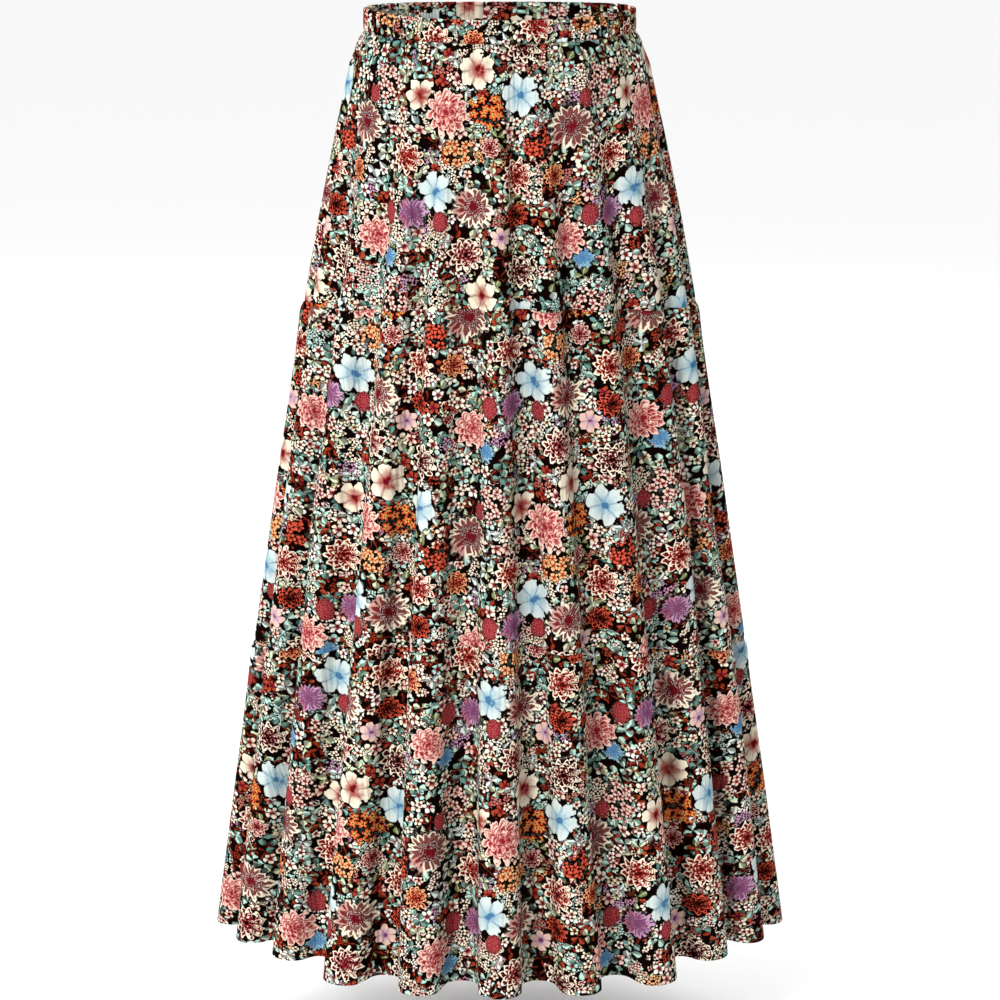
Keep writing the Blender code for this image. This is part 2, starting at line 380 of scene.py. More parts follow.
# %% Creases
# Columns: share of the round, top and bottom drop (m), width and depth (mm, a trough below 0), how far
# round it leans from top to bottom, and how much steeper its left side is than its right.
CREASES = np.array((
    (-0.238, 0.10, 0.52, 9, -1.6, 0.004, 0.0),
    (-0.212, 0.30, 0.70, 7, 1.4, -0.006, 0.0),
    (-0.197, 0.31, 0.57, 12, 3.0, 0.040, 0.0),
    (-0.196, 0.05, 0.30, 6, -1.3, 0.003, 0.0),
    (-0.181, 0.42, 0.86, 8, -1.5, 0.002, 0.0),
    (-0.160, 0.64, 0.92, 6, 1.3, -0.004, 0.0),
    (-0.147, 0.04, 0.22, 5, 1.2, -0.003, 0.0),
    (-0.135, 0.34, 0.50, 12, 3.2, 0.005, 0.0),
    (-0.131, 0.29, 0.58, 7, -1.7, 0.002, 0.0),
    (-0.112, 0.08, 0.36, 6, 1.2, -0.005, 0.0),
    (-0.108, 0.19, 0.38, 9, -3.8, 0.012, 0.0),
    (-0.097, 0.62, 0.90, 9, -1.8, 0.002, 0.0),
    (-0.082, 0.51, 0.65, 7, -3.0, 0.001, 0.0),
    (-0.081, 0.30, 0.66, 6, 1.5, -0.002, 0.0),
    (-0.076, 0.49, 0.94, 12, 3.8, 0.018, 1.0),
    (-0.066, 0.03, 0.26, 5, -1.5, -0.002, 0.0),
    (-0.054, 0.13, 0.28, 8, -3.8, 0.008, 0.0),
    (-0.052, 0.63, 0.84, 6, 1.2, 0.001, 0.0),
    (-0.034, 0.12, 0.46, 6, 1.3, -0.003, 0.0),
    (-0.027, 0.71, 0.92, 9, -3.0, 0.003, 0.0),
    (-0.019, 0.03, 0.34, 5, -1.7, -0.003, 0.0),
    (-0.014, 0.55, 0.94, 20, 3.6, 0.002, 1.0),
    (-0.008, 0.30, 0.60, 4, -1.0, 0.002, 0.0),
    (-0.005, 0.14, 0.59, 13, 4.2, 0.000, 0.5),
    (0.013, 0.05, 0.40, 5, -1.5, 0.002, 0.0),
    (0.018, 0.09, 0.25, 8, -4.5, 0.002, 0.0),
    (0.024, 0.44, 0.78, 6, 1.4, 0.003, 0.0),
    (0.027, 0.25, 0.51, 11, -4.2, 0.002, 0.0),
    (0.041, 0.03, 0.24, 5, 1.2, 0.002, 0.0),
    (0.043, 0.35, 0.83, 13, 4.2, 0.002, 0.6),
    (0.054, 0.10, 0.37, 11, 4.0, -0.011, 0.3),
    (0.056, 0.28, 0.56, 7, -1.6, 0.002, 0.0),
    (0.072, 0.62, 0.91, 7, -1.5, -0.001, 0.0),
    (0.077, 0.55, 0.89, 14, -4.0, -0.018, 0.0),
    (0.088, 0.06, 0.31, 6, 1.5, 0.004, 0.0),
    (0.095, 0.16, 0.35, 11, -4.2, -0.009, 0.0),
    (0.098, 0.49, 0.92, 14, 4.0, -0.001, 0.3),
    (0.099, 0.23, 0.51, 12, 4.0, -0.002, 0.0),
    (0.103, 0.33, 0.74, 8, 1.6, 0.001, 0.0),
    (0.106, 0.00, 0.11, 8, 2.5, -0.008, 0.0),
    (0.122, 0.64, 0.88, 6, -1.3, -0.003, 0.0),
    (0.137, 0.04, 0.28, 6, -1.6, 0.003, 0.0),
    (0.144, 0.60, 0.89, 14, -4.0, -0.003, 0.0),
    (0.155, 0.26, 0.43, 13, -4.0, -0.010, 0.0),
    (0.155, 0.29, 0.50, 6, 1.2, 0.004, 0.0),
    (0.171, 0.52, 0.90, 9, -1.7, 0.002, 0.0),
    (0.189, 0.07, 0.38, 7, 1.4, 0.003, 0.0),
    (0.195, 0.00, 0.10, 9, -3.0, -0.032, 0.0),
    (0.206, 0.39, 0.61, 12, -3.2, 0.018, 0.0),
    (0.208, 0.64, 0.86, 6, 1.3, 0.002, 0.0),
    (0.231, 0.26, 0.62, 8, -1.6, -0.004, 0.0),
    (0.242, 0.60, 0.88, 13, -3.2, -0.023, 0.0),
    (0.263, 0.05, 0.30, 6, -1.4, 0.003, 0.0),
    (0.281, 0.62, 0.90, 8, 1.6, -0.002, 0.0),
    (0.283, 0.28, 0.62, 12, 3.4, 0.012, 0.4),
    (0.298, 0.28, 0.57, 7, -1.5, 0.004, 0.0),
    (0.302, 0.12, 0.36, 9, -3.6, 0.006, 0.0),
    (0.316, 0.04, 0.21, 5, 1.2, -0.003, 0.0),
    (0.327, 0.50, 0.93, 15, 3.8, -0.004, 0.8),
    (0.333, 0.45, 0.88, 9, -1.8, 0.002, 0.0),
    (0.346, 0.20, 0.47, 12, -4.0, -0.008, 0.0),
    (0.352, 0.10, 0.44, 7, 1.4, 0.003, 0.0),
    (0.361, 0.08, 0.34, 11, 3.8, 0.006, 0.0),
    (0.371, 0.29, 0.52, 6, -1.3, -0.004, 0.0),
    (0.378, 0.58, 0.90, 13, -3.8, 0.004, 0.0),
    (0.389, 0.63, 0.85, 7, 1.5, 0.002, 0.0),
    (0.397, 0.34, 0.70, 13, 4.1, 0.003, 0.5),
    (0.406, 0.03, 0.27, 5, -1.6, 0.003, 0.0),
    (0.413, 0.15, 0.40, 9, -4.2, 0.004, 0.0),
    (0.424, 0.36, 0.72, 8, 1.3, -0.002, 0.0),
    (0.431, 0.55, 0.94, 17, 3.7, -0.002, 1.0),
    (0.443, 0.62, 0.91, 7, -1.5, 0.001, 0.0),
    (0.452, 0.10, 0.45, 12, 4.0, 0.005, 0.3),
    (0.459, 0.05, 0.33, 6, 1.4, -0.003, 0.0),
    (0.468, 0.48, 0.86, 12, -4.1, -0.003, 0.0),
    (0.476, 0.28, 0.60, 6, -1.6, 0.002, 0.0),
    (0.487, 0.22, 0.55, 11, -4.2, 0.002, 0.0),
    (0.492, 0.64, 0.82, 6, 1.2, 0.002, 0.0),
    (0.503, 0.12, 0.58, 13, 4.2, -0.002, 0.6),
    (0.508, 0.04, 0.25, 5, -1.5, 0.002, 0.0),
    (0.519, 0.56, 0.94, 18, 3.8, 0.001, 0.9),
    (0.526, 0.31, 0.68, 8, 1.5, -0.003, 0.0),
    (0.533, 0.16, 0.36, 8, -4.3, -0.004, 0.0),
    (0.545, 0.08, 0.37, 6, -1.3, 0.004, 0.0),
    (0.554, 0.36, 0.80, 13, 4.0, 0.003, 0.0),
    (0.563, 0.62, 0.90, 8, -1.7, -0.002, 0.0),
    (0.571, 0.58, 0.91, 13, -3.9, -0.006, 0.0),
    (0.584, 0.28, 0.49, 6, 1.2, 0.002, 0.0),
    (0.592, 0.10, 0.33, 10, 3.4, 0.006, 0.0),
    (0.602, 0.03, 0.29, 6, 1.5, -0.003, 0.0),
    (0.611, 0.24, 0.52, 12, -4.0, -0.004, 0.0),
    (0.621, 0.50, 0.88, 9, -1.6, 0.003, 0.0),
    (0.634, 0.52, 0.93, 14, 3.9, 0.002, 0.7),
    (0.643, 0.12, 0.41, 7, -1.4, 0.002, 0.0),
    (0.655, 0.14, 0.44, 11, 3.6, -0.006, 0.0),
    (0.662, 0.64, 0.89, 7, 1.4, -0.002, 0.0),
    (0.676, 0.60, 0.90, 13, -3.7, 0.004, 0.0),
    (0.684, 0.29, 0.63, 7, -1.5, 0.003, 0.0),
    (0.701, 0.30, 0.66, 12, -3.4, 0.010, 0.0),
    (0.704, 0.05, 0.24, 5, 1.3, 0.002, 0.0),
    (0.722, 0.08, 0.26, 9, 3.0, -0.006, 0.0),
    (0.727, 0.40, 0.80, 8, 1.5, -0.003, 0.0),
))
print(f"{len(CREASES)} creases, the deepest {np.abs(CREASES[:, 4]).max():.1f} mm")

# %% Adding the creases up
# So many widths away from its middle, nothing is left of a crease.
CREASE_REACH = 3
# How much a full skew widens a crease's right flank, and narrows its left one.
SKEWED_RIGHT = 0.8
SKEWED_LEFT = -0.65


def crease_lift(share, drop):
    """What all the hand-placed creases add to the cloth's outer face, in metres."""
    lift = np.zeros_like(drop)
    girth = math.tau * section_at(drop)[0] * (1 + DEPTH_RATIO) / 2
    for place, top, bottom, width, depth, lean, skew in CREASES:
        down = (drop - top) / (bottom - top)
        away = ((share - place - lean * down + 0.5) % 1.0 - 0.5) * girth / (width / 1000)
        if np.abs(away).min() > CREASE_REACH:
            continue
        away = away / (1 + skew * np.where(away > 0, SKEWED_RIGHT, SKEWED_LEFT))
        # A crease fades in over its first quarter and out over its last third.
        fade = smooth(down * 4) * smooth((1 - down) * 3)
        lift += depth / 1000 * np.exp(-(away**2)) * fade
    return lift


lift = crease_lift(np.linspace(0, 1, 5000), np.full(5000, HEM.side_drop / 2)) * 1000
print(f"half way down, the creases reach from {lift.min():.1f} to {lift.max():.1f} mm")

# %% [markdown]
# ## A shell for each cut piece
# A maker cuts eight pieces and sews them. Each becomes one closed shell here: an outer face, an inner
# face, and turned edges between them. A flat sheet with a Solidify modifier would be quicker, but its
# edges would be square. The same surface gives every shell, so neighbours meet along their seams. At
# a seam the cloth curls in, because stitches pull both edges under: that dip is what makes a seam
# visible. The rows crowd together near the edges, where the form turns quickly, and spread out in
# between.

# %% Pieces and their rows
# A ring's edges, the thickness of its wall (m), its even columns and rows, and whether gathers fade below
# its upper edge or run right through, as they do in an elasticated band.
Ring = namedtuple("Ring", "name top bottom wall columns rows gathers_fade")
RINGS = (
    Ring("waistband", WAIST_TOP, BAND_SEAM, 0.0028, 420, 12, False),
    Ring("upper_tier", BAND_SEAM, UPPER_SEAM, 0.0008, 420, 56, True),
    Ring("middle_tier", UPPER_SEAM, LOWER_SEAM, 0.0008, 480, 70, True),
    Ring("lower_tier", LOWER_SEAM, HEM, 0.0008, 600, 62, True),
)
HALVES = (("front", 0.0), ("back", 0.5))
# Where the finer rows lie near an edge, and where the even ones begin, in halves of the wall's thickness.
EDGE_STEPS = np.array((0.0, 0.3, 1.0))
EVEN_FROM = 2.2


def spread(count, length, fine):
    """Distances from 0 to length: count even ones, and three finer ones at each end."""
    edge = EDGE_STEPS * fine
    even = np.linspace(EVEN_FROM * fine, length - EVEN_FROM * fine, count)
    return np.concatenate((edge, even, length - edge[::-1]))


print("rows down a strip 20 mm long and 2 mm thick, in mm:", spread(3, 20, 1).round(2).tolist())


# %% Dips at the seams
SEAM_DIP = 0.0011
SEAM_DIP_REACH = 0.0022


def shell_lift(ring, share, drop, top, bottom):
    """How far the outer face stands off the plain folds: gathers, creases, and dips at the seams."""
    below = drop - top
    lift = gather_at(share, below if ring.gathers_fade else np.zeros_like(below))
    if ring.gathers_fade:
        lift = lift + crease_lift(share, drop)
    for edge, away in ((ring.top, below), (ring.bottom, bottom - drop)):
        if edge not in (WAIST_TOP, HEM):
            lift = lift - SEAM_DIP * np.exp(-away / SEAM_DIP_REACH)
    return lift


print(f"a seam dips {SEAM_DIP * 1000:.1f} mm")


# %% Points of a shell
# How fine the columns get at the side seams, how high the hem is turned up and how thick it then is, the
# height over which it thins out again, and a tiny step round the skirt: all in metres, the last in shares.
SIDE_FINENESS = 0.0015
HEM_TURN = 0.010
HEM_WALL = 0.0013
HEM_TURN_EDGE = 0.0006
NUDGE = 1e-5


def shell_points(ring, middle):
    """Grids of outer and inner points, rows down and columns round, and the oval's tangent at each."""
    half_girth = 0.5 * math.tau * (1 + DEPTH_RATIO) / 2 * section_at(np.array(ring.bottom.side_drop))[0]
    shares = middle - 0.25 + 0.5 * spread(ring.columns, half_girth, SIDE_FINENESS) / half_girth
    top, bottom = edge_drop(ring.top, shares), edge_drop(ring.bottom, shares)
    length = (bottom - top).mean()
    drop = top + (bottom - top) * (spread(ring.rows, length, ring.wall / 2) / length)[:, None]
    share = np.broadcast_to(shares, drop.shape)

    def plan(nudge):
        moved = share + nudge
        return skirt_plan(moved, drop, shell_lift(ring, moved, drop, top, bottom))

    # The way into the wall is square to a tiny step along the cloth.
    x, y, tangent = plan(0.0)
    before, after = plan(-NUDGE), plan(NUDGE)
    run = np.stack((after[0] - before[0], after[1] - before[1]))
    inward = np.stack((-run[1], run[0])) / np.hypot(*run)
    wall = np.full_like(drop, ring.wall)
    if ring.bottom is HEM:
        wall = wall + (HEM_WALL - ring.wall) * smooth((HEM_TURN - (bottom - drop)) / HEM_TURN_EDGE)
    # An edge is rounded like a thread: both faces meet on it, half way through the wall.
    near = np.clip(np.minimum(drop - top, bottom - drop) / (wall / 2), 0.0, 1.0)
    rounding = wall / 2 * (1 - np.sqrt(1 - (1 - near) ** 2))
    z = BAND_HEIGHT / 2 - drop
    outer, inner = [np.stack((x + inward[0] * depth, y + inward[1] * depth, z), -1)
                    for depth in (rounding, wall - rounding)]
    return outer, inner, tangent


outer, _, tangent = shell_points(RINGS[-1], 0.0)
print(f"lower tier's front: {outer.shape[0]} rows of {outer.shape[1]} points")

# %% [markdown]
# ## Laying the print on the cloth
# A print is on the cloth before it is cut and gathered. Coordinates in space would slice through the
# folds, so every point gets its place on the flat cloth instead, in metres, in a UV map named `print`.
# Across, we measure along the cloth from the panel's middle. In front, deep folds would swallow whole
# flowers, so there most of that measure is taken along the plain oval, as if the cloth were eased a
# little on the flanks of the folds.

# %% Flat places
# How much of the true measure along the cloth counts, in front and at the sides.
ARC_SHARE_FRONT = 0.4
ARC_SHARE_SIDE = 0.9
# Where in the printed repeat each panel was cut: across and down, in metres.
PRINT_START = {
    ("waistband", "front"): (0.030, 0.120),
    ("waistband", "back"): (0.105, 0.040),
    ("upper_tier", "front"): (0.1585, -0.003),
    ("upper_tier", "back"): (0.020, 0.085),
    ("middle_tier", "front"): (0.0555, -0.391),
    ("middle_tier", "back"): (0.150, -0.300),
    ("lower_tier", "front"): (0.106, -0.690),
    ("lower_tier", "back"): (0.060, -0.560),
}


def flat_places(outer, tangent):
    """Each point's place on the flat cloth: across from the panel's middle, and down from the waist."""
    steps = np.diff(outer[..., :2], axis=1)
    true = np.hypot(steps[..., 0], steps[..., 1])
    halfway = (tangent[:, :, 1:] + tangent[:, :, :-1]) / 2
    eased = steps[..., 0] * halfway[0] + steps[..., 1] * halfway[1]
    sideways = halfway[1] ** 2
    arc_share = ARC_SHARE_FRONT + (ARC_SHARE_SIDE - ARC_SHARE_FRONT) * sideways
    step = arc_share * true + (1 - arc_share) * eased
    across = np.concatenate((np.zeros((len(step), 1)), np.cumsum(step, axis=1)), axis=1)
    across -= across[:, [across.shape[1] // 2]]
    slope = np.hypot(np.diff(SECTIONS[:, 1]).sum(), SECTIONS[-1, 0]) / SECTIONS[-1, 0]
    down = (BAND_HEIGHT / 2 - outer[..., 2]) * slope
    return across, down


across, down = flat_places(outer, tangent)
print(f"the print runs {across[-1, -1] - across[-1, 0]:.2f} m along the front of the hem")


# %% [markdown]
# ## From points to a mesh
# A mesh is a list of points and a list of faces that name them. Blender's modelling tools would need many
# steps for each shell, but our points lie in rows, down the outside and up the inside again, so the
# faces follow from counting. Both faces of the cloth meet in one row of points at each edge, which
# closes the shell there, and a strip of faces closes each side seam.

# %% Faces of a shell
def grid_quads(rows, columns):
    """The four corners of each face between a loop of rows, the last of them joined to the first."""
    row = np.arange(rows)[:, None]
    column = np.arange(columns - 1)[None, :]
    following = (row + 1) % rows
    corners = (following * columns + column, following * columns + column + 1,
               row * columns + column + 1, row * columns + column)
    return np.stack(corners, -1).reshape(-1, 4).tolist()


def end_faces(rows, columns, column):
    """Faces that close the wall at one side seam, three-cornered where the two faces of the cloth meet."""
    index = np.arange(rows // 2 + 1)
    outer = index * columns + column
    inner = (rows - index) % rows * columns + column
    quads = np.stack((outer[:-1], outer[1:], inner[1:], inner[:-1]), -1)
    quads = quads if column else quads[:, ::-1]
    return [list(dict.fromkeys(quad)) for quad in quads.tolist()]


print("faces between 4 rows of 3 points:", len(grid_quads(4, 3)))


# %% [markdown]
# Another program may not know our print's nodes, and then wants it as a picture. A second UV map,
# `OFBake`, says where on that square picture each face lies: the outer face over most of it, the inner
# face in a strip below, and the thin side walls in the margins. Nothing overlaps, or one would paint
# over another.

# %% Places on a picture
OUTER_STRIP = (0.27, 0.996)
INNER_STRIP = (0.004, 0.26)
SIDE_MARGIN = 0.005


def picture_places(points, grid_faces, across, down):
    """Each face corner's place, from its point. across and down run from 0 to 1 over the outer face."""
    outer_rows, columns = across.shape
    row, column = points // columns, points % columns
    depth = np.where(row < outer_rows, row, 2 * outer_rows - 2 - row)
    face = np.arange(len(points)) // 4
    on_grid = face < grid_faces
    inside = on_grid & (face // (columns - 1) >= outer_rows - 1)
    low, high = np.where(inside, np.vstack(INNER_STRIP), np.vstack(OUTER_STRIP))
    # The side walls lie in the margins, each beside the seam that it closes.
    margin = SIDE_MARGIN * (0.5 + (row >= outer_rows))
    in_margin = np.where(column == 0, margin, 1 - margin)
    u = np.where(on_grid, across[depth, column] * (1 - 4 * SIDE_MARGIN) + 2 * SIDE_MARGIN, in_margin)
    v = high - (high - low) * down[depth]
    return np.stack((u, v), -1)


print(f"the outer face gets {OUTER_STRIP[1] - OUTER_STRIP[0]:.0%} of the picture's height")


# %% Mesh of a shell
def shell_mesh(name, outer, inner):
    """A closed mesh between two grids of points, and how many of its faces lie on the grids."""
    points = np.concatenate((outer, inner[-2:0:-1]))
    rows, columns = points.shape[:2]
    grid = grid_quads(rows, columns)
    sides = end_faces(rows, columns, 0) + end_faces(rows, columns, columns - 1)
    mesh = bpy.data.meshes.new(name)
    mesh.from_pydata(points.reshape(-1, 3).tolist(), [], grid + sides)
    mesh.shade_smooth()
    return mesh, len(grid)


def corner_points(mesh):
    """The number of the point at each face corner."""
    points = np.empty(len(mesh.loops), dtype=np.int32)
    mesh.loops.foreach_get("vertex_index", points)
    return points


print("points in the mesh of a lower tier's front:", (2 * outer.shape[0] - 2) * outer.shape[1])


# %% Shells
def make_shell(ring, half, middle):
    outer, inner, tangent = shell_points(ring, middle)
    mesh, grid_faces = shell_mesh(f"{ring.name}_{half}_cloth", outer, inner)
    corners = corner_points(mesh)
    across, down = flat_places(outer, tangent)
    start_across, start_down = PRINT_START[ring.name, half]
    places = np.stack((across + start_across, down + start_down), -1)
    places = np.concatenate((places, places[-2:0:-1])).reshape(-1, 2)
    mesh.uv_layers.new(name="print").data.foreach_set("uv", places[corners].ravel())
    share_across = (across - across[:, :1]) / (across[:, -1:] - across[:, :1])
    share_down = (down - down[0]).mean(axis=1)
    places = picture_places(corners, grid_faces, share_across, share_down / share_down[-1])
    mesh.uv_layers.new(name="OFBake").data.foreach_set("uv", places.ravel())
    # The inner face of a tier shows the print's reverse. That of the folded waistband shows its good side.
    inside = np.arange(len(mesh.vertices)) >= outer.shape[0] * outer.shape[1]
    reverse = mesh.attributes.new("reverse", "FLOAT", "POINT")
    reverse.data.foreach_set("value", inside.astype(np.float32) * ring.gathers_fade)
    shell = bpy.data.objects.new(mesh.name, mesh)
    scene.collection.objects.link(shell)
    return shell


shells = {(ring.name, half): make_shell(ring, half, middle) for ring in RINGS for half, middle in HALVES}
for shell in shells.values():
    shell.data.calc_loop_triangles()
    print(shell.name, len(shell.data.loop_triangles), "triangles")

# %% [markdown]
# ## A way to write materials
# A material is a tree of nodes: each takes numbers, vectors or colours in and gives one out. A whole
# flower print could be clicked together by hand, as hundreds of boxes, but nobody could read it
# afterwards. Instead we wrap an output in a small class, `Wire`, so that `1 - mask` in Python adds a
# Math node. `Finish` holds one material and the one way of adding any other node. Colours and vectors
# go through their own nodes, since a Math node would turn a colour grey.

# %% Wires
class Wire:
    """One output of a node. Arithmetic on it adds Math nodes to the same material."""

    def __init__(self, finish, socket):
        self.finish = finish
        self.socket = socket

    def maths(self, operation, *others):
        return self.finish.node("ShaderNodeMath", {"operation": operation}, (self, *others))

    def after(self, operation, first):
        return self.finish.node("ShaderNodeMath", {"operation": operation}, (first, self))

    def also(self, name):
        """Another output of the same node."""
        return Wire(self.finish, self.socket.node.outputs[name])

    def times_plus(self, factor, extra):
        """self * factor + extra, in one node."""
        return self.maths("MULTIPLY_ADD", factor, extra)

    def at_least(self, least):
        return self.maths("MAXIMUM", least)

    def __neg__(self):
        return self.maths("MULTIPLY", -1)

    def __abs__(self):
        return self.maths("ABSOLUTE")

    def __add__(self, other):
        return self.maths("ADD", other)

    def __sub__(self, other):
        return self.maths("SUBTRACT", other)

    def __mul__(self, other):
        return self.maths("MULTIPLY", other)

    def __pow__(self, other):
        return self.maths("POWER", other)

    def __lt__(self, other):
        return self.maths("LESS_THAN", other)

    def __gt__(self, other):
        return self.maths("GREATER_THAN", other)

    def __rsub__(self, other):
        return self.after("SUBTRACT", other)

    def __rpow__(self, other):
        return self.after("POWER", other)

    __radd__ = __add__
    __rmul__ = __mul__


print("operators with a number on the left:", [name for name in vars(Wire) if name.startswith("__r")])


# %% Finishes
def fill_ramp(ramp, stops):
    """Sets a colour ramp's stops from (place, colour) pairs, each colour running flat to the next."""
    ramp.interpolation = "CONSTANT"
    while len(ramp.elements) < len(stops):
        ramp.elements.new(1.0)
    for element, (place, colour) in zip(ramp.elements, stops):
        element.position = place
        element.color = colour


class Finish:
    """A material, and the one way of adding a node to it."""

    def __init__(self, name):
        self.material = bpy.data.materials.new(name)
        self.material.use_nodes = True
        self.tree = self.material.node_tree
        self.surface = self.tree.nodes["Principled BSDF"]

    def node(self, kind, settings=None, inputs=(), output=0):
        node = self.tree.nodes.new(kind)
        for name, value in (settings or {}).items():
            if name == "stops":
                fill_ramp(node.color_ramp, value)
            else:
                setattr(node, name, value)
        self.join(node, inputs)
        return Wire(self, node.outputs[output])

    def join(self, node, inputs):
        pairs = inputs.items() if isinstance(inputs, dict) else enumerate(inputs)
        for key, value in pairs:
            if isinstance(value, Wire):
                self.tree.links.new(value.socket, node.inputs[key])
            else:
                node.inputs[key].default_value = value

    def vector(self, operation, *inputs, output=0):
        return self.node("ShaderNodeVectorMath", {"operation": operation}, inputs, output)

    def mix(self, share, low, high):
        return self.node("ShaderNodeMix", {"data_type": "FLOAT"}, {0: share, 2: low, 3: high})

    def paint(self, share, under, over):
        return self.node("ShaderNodeMix", {"data_type": "RGBA"}, {0: share, 6: under, 7: over}, 2)

    def soft_step(self, value, low, high):
        """0 below low and 1 above high, eased between."""
        settings = {"interpolation_type": "SMOOTHSTEP"}
        return self.node("ShaderNodeMapRange", settings, (value, low, high))

    def parts(self, vector):
        first = self.node("ShaderNodeSeparateXYZ", None, (vector,))
        return [first, first.also("Y"), first.also("Z")]


cloth = Finish("flowered_cloth")
print("nodes in a new material:", [node.name for node in cloth.tree.nodes])

# %% [markdown]
# ## Dyes
# A printer mixes a limited set of dyes and uses each in many flowers, and that is what holds a busy print
# together. We mix ours as 0 to 255, as a screen shows them, and turn them into the amounts of light
# that the renderer counts in, by the curve that all screens use. The palest are creamy, never pure
# white, because cloth isn't.

# %% Dyes
def dye(red, green, blue):
    """A colour mixed as 0 to 255 on a screen, as the renderer's own light values."""
    shares = [channel / 255 for channel in (red, green, blue)]
    return (*(s / 12.92 if s < 0.04045 else ((s + 0.055) / 1.055) ** 2.4 for s in shares), 1.0)


GROUND = dye(11, 3, 2)
CREAM = dye(243, 231, 207)
WHITE = dye(247, 242, 229)
BLUSH = dye(235, 198, 182)
ROSE = dye(162, 74, 76)
SCARLET = dye(158, 38, 32)
RASPBERRY = dye(138, 34, 44)
CORAL = dye(208, 84, 62)
ORANGE = dye(206, 88, 48)
APRICOT = dye(236, 176, 124)
RUST = dye(132, 42, 22)
BRICK = dye(160, 64, 42)
DUSK = dye(192, 118, 110)
MAROON = dye(62, 11, 8)
BURGUNDY = dye(100, 18, 26)
MINT = dye(178, 216, 204)
TEAL = dye(98, 146, 140)
OLIVE = dye(118, 128, 80)
SAGE = dye(205, 213, 180)
PALE = dye(214, 226, 222)
SKY = dye(142, 182, 198)
BLUE = dye(72, 118, 158)
LILAC = dye(190, 150, 180)
PLUM = dye(116, 64, 98)
YELLOW = dye(240, 202, 110)
print("brown-black ground, in light:", [round(channel, 4) for channel in GROUND[:3]])

# %% [markdown]
# ## The cloth's own coordinates
# Everything on the print is measured in millimetres on the flat cloth, so a petal's size can be read
# straight from the code. A print begins as somebody's brushwork, never drawn with a compass, so a cloudy
# noise first pushes each place a little aside. That is one noise for the whole print, where a rough
# edge for each motif would need dozens: every shape worked out from the pushed place gets a
# hand-drawn outline.

# %% Places on the cloth
flat_map = cloth.node("ShaderNodeUVMap", {"uv_map": "print"})
place = cloth.vector("MULTIPLY", flat_map, (1000, 1000, 0))
clouds = {"Vector": place, "Scale": 0.16, "Detail": 2.0}
wobble = cloth.node("ShaderNodeTexNoise", {"noise_dimensions": "2D"}, clouds, 1)


def pushed(most):
    """Places pushed aside by up to about half of most, in millimetres."""
    start = cloth.vector("ADD", place, (-most / 2, -most / 2, 0))
    return cloth.vector("MULTIPLY_ADD", wobble, (most, most, 0), start)


painted = pushed(3.4)
# Up to a quarter of a motif's radius, in or out, to add to a reach.
ragged = cloth.parts(wobble)[0].times_plus(0.5, -0.25)
print("nodes so far:", len(cloth.tree.nodes))

# %% [markdown]
# ## Small motifs, scattered
# The small leaves and florets of such a print fill the space between the big flowers without any order.
# Placing thousands by hand would be slow. A Voronoi texture does it in one node: it scatters points
# over the cloth and tells each place which point is nearest, how far away it is, and a few chance
# numbers for that point. From distance and direction we can draw petals round the point, and
# the chance numbers pick its dye and turn it.

# %% Growing places
def cells(size, jitter, shift):
    """The way from the nearest of the scattered points, how far it is, and three chance numbers.

    shift (mm) moves the points, so that no two layers of the print share them.
    """
    moved = cloth.vector("ADD", painted, (shift, 1.7 * shift, 0))
    scatter = {"Vector": moved, "Scale": 1 / size, "Randomness": jitter}
    reach = cloth.node("ShaderNodeTexVoronoi", {"voronoi_dimensions": "2D"}, scatter)
    away = cloth.vector("SUBTRACT", moved, reach.also("Position"))
    return away, reach, cloth.parts(reach.also("Color"))


def turn_of(local):
    """The direction of a place, in whole turns."""
    x, y, _ = cloth.parts(local)
    return y.maths("ARCTAN2", x) * (1 / math.tau)


def petals(turn, count):
    """How far across a petal a place lies: -1 at its one side, 0 on its middle, 1 at the other."""
    return (turn * count).maths("FRACT").times_plus(2, -1)


def pointed(ratio, side, plump):
    """How deep inside pointed petals a place lies, from ratio, 0 at the heart and 1 at the tip."""
    width = (ratio * (1 - ratio)).at_least(0.0).maths("SQRT")
    return width.times_plus(2 * plump, -abs(side))


def evenly(tints):
    """Ramp stops that share the chance numbers out evenly between the tints."""
    return [(number / len(tints), tint) for number, tint in enumerate(tints)]


def chosen(tints, chance):
    return cloth.node("ShaderNodeValToRGB", {"stops": tints}, (chance,))


print("one in", len(evenly((MINT, TEAL, SAGE))), "leaves would get each of three greens")

# %% [markdown]
# Leaves of one plant keep together. So a second, coarser Voronoi cuts the cloth into patches with chance
# numbers of their own: green leaves grow everywhere, and rust-brown ones only in some of the patches.

# %% Leaves
# How far a leaf reaches from its scattered point, where 1 is from one point to the next.
LEAF_REACH = 0.62


def leaves(colour, size, count, plump, share, tints, vein, shift, where=None):
    """Sprays of pointed leaves with a light and a dark half, each on a dark shadow, over a colour.

    size is from spray to spray (mm), and each spray has so many leaves. share is how many of the
    sprays grow, and where is a mask for them.
    """
    away, reach, (red, green, blue) = cells(size, 0.9, shift)
    side = petals(turn_of(away) + red, count)
    depth = pointed(reach * (1 / LEAF_REACH), side, plump)
    lit = cloth.soft_step(side, -0.08, 0.08).times_plus(0.66, 0.34)
    rib = cloth.soft_step(abs(side), 0.14, 0.04)
    leaf = cloth.paint(rib * 0.7, cloth.paint(lit, GROUND, chosen(evenly(tints), blue)), vein)
    leaf = cloth.paint(cloth.soft_step(depth, 0.12, 0.3), GROUND, leaf)
    amount = cloth.soft_step(depth, 0, 0.1) * (green < share)
    if where is not None:
        amount = amount * where
    return cloth.paint(amount, colour, leaf)


